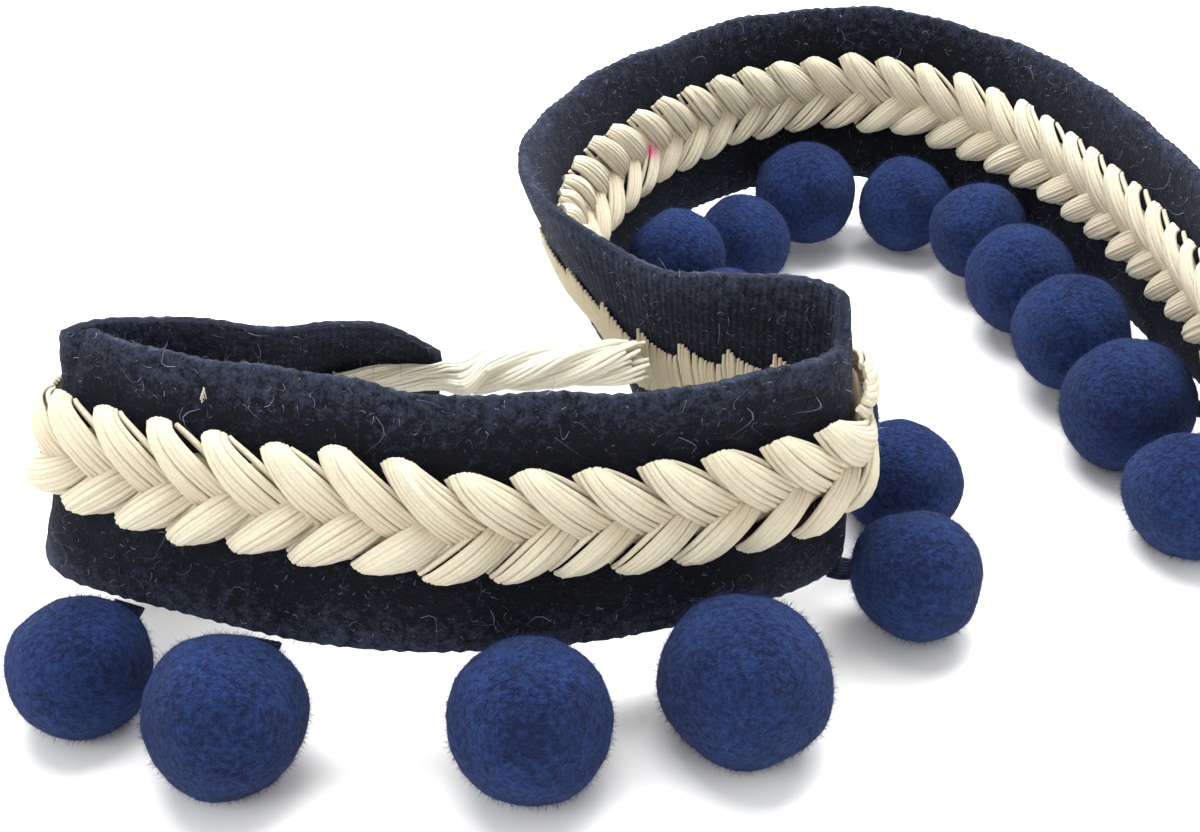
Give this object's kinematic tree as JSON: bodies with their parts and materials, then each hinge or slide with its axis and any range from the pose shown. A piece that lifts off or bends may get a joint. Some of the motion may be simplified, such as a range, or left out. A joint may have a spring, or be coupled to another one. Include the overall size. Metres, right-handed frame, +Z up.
{
  "type": "pompom trim",
  "caption": "Pompom trim: a navy cotton tape standing on its edge in an S, with a cream plait along its front and blue felt pompoms hanging from its lower edge.",
  "frame": {"origin": "middle of the part's bounding box, on the floor under the pompoms", "axes": "+X to the viewer's right along the longest side, +Y away from the front fold, +Z up"},
  "size_m": [0.127, 0.123, 0.0336],
  "materials": {
    "tape": "matt brushed cotton, near-black navy",
    "plait": "soft cream cotton yarn, many fine plies",
    "band": "cream cotton stitches",
    "tab": "navy woven cotton",
    "pompom": "dense blue felt with a short fuzz"
  },
  "bodies": {
    "root": {"tape": "tape", "plait": "plait", "back_band": "band", "pompom_01": "pompom", "tab_01": "tab", "pompom_02": "pompom", "tab_02": "tab", "pompom_03": "pompom", "tab_03": "tab", "pompom_04": "pompom", "tab_04": "tab", "pompom_05": "pompom", "tab_05": "tab", "pompom_06": "pompom", "tab_06": "tab", "pompom_07": "pompom", "tab_07": "tab", "pompom_08": "pompom", "tab_08": "tab", "pompom_09": "pompom", "tab_09": "tab", "pompom_10": "pompom", "tab_10": "tab", "pompom_11": "pompom", "tab_11": "tab", "pompom_12": "pompom", "tab_12": "tab", "pompom_13": "pompom", "tab_13": "tab", "pompom_14": "pompom", "tab_14": "tab", "pompom_15": "pompom", "tab_15": "tab", "pompom_16": "pompom", "tab_16": "tab", "pompom_17": "pompom", "tab_17": "tab", "pompom_18": "pompom", "tab_18": "tab", "pompom_19": "pompom", "tab_19": "tab"}
  },
  "joints": []
}
